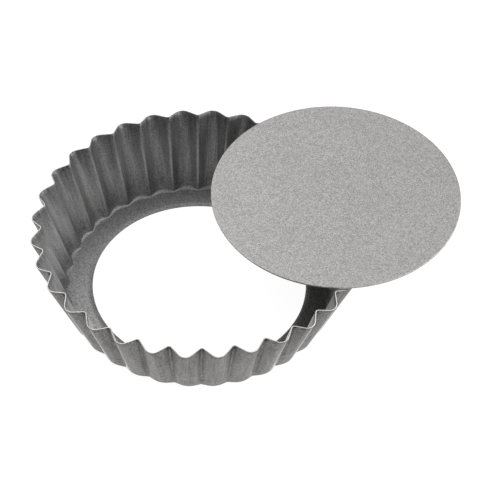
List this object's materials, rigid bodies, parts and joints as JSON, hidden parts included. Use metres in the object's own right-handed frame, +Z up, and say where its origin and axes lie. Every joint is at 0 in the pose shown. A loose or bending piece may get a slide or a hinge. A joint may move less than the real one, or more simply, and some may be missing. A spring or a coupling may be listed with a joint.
{
  "type": "tart pan",
  "caption": "Round fluted tart pan with a removable flat base: a thin metal ring with leaning fluted walls and a narrow inner ledge, and a loose disc that lies on its rim.",
  "frame": {"origin": "centre of the round opening in the ring's ledge, in the plane that the ring stands on", "axes": "+Z up along the ring's axis; +X through the middle of one flute, to the side that the loose base is shifted towards; +Y to the back, away from the lower front wall that the picture shows"},
  "size_m": [0.1521, 0.1244, 0.0314],
  "materials": {
    "ring_coating": "satin dark grey non-stick coating",
    "base_coating": "matt light grey non-stick coating"
  },
  "bodies": {
    "ring": {"fluted_ring": "ring_coating"},
    "base": {"base_plate": "base_coating"}
  },
  "joints": [
    {"name": "base_plate_lift", "type": "slide", "parent": "ring", "child": "base", "axis": [0, 0, 1], "range_m": [0, 0.06]}
  ]
}
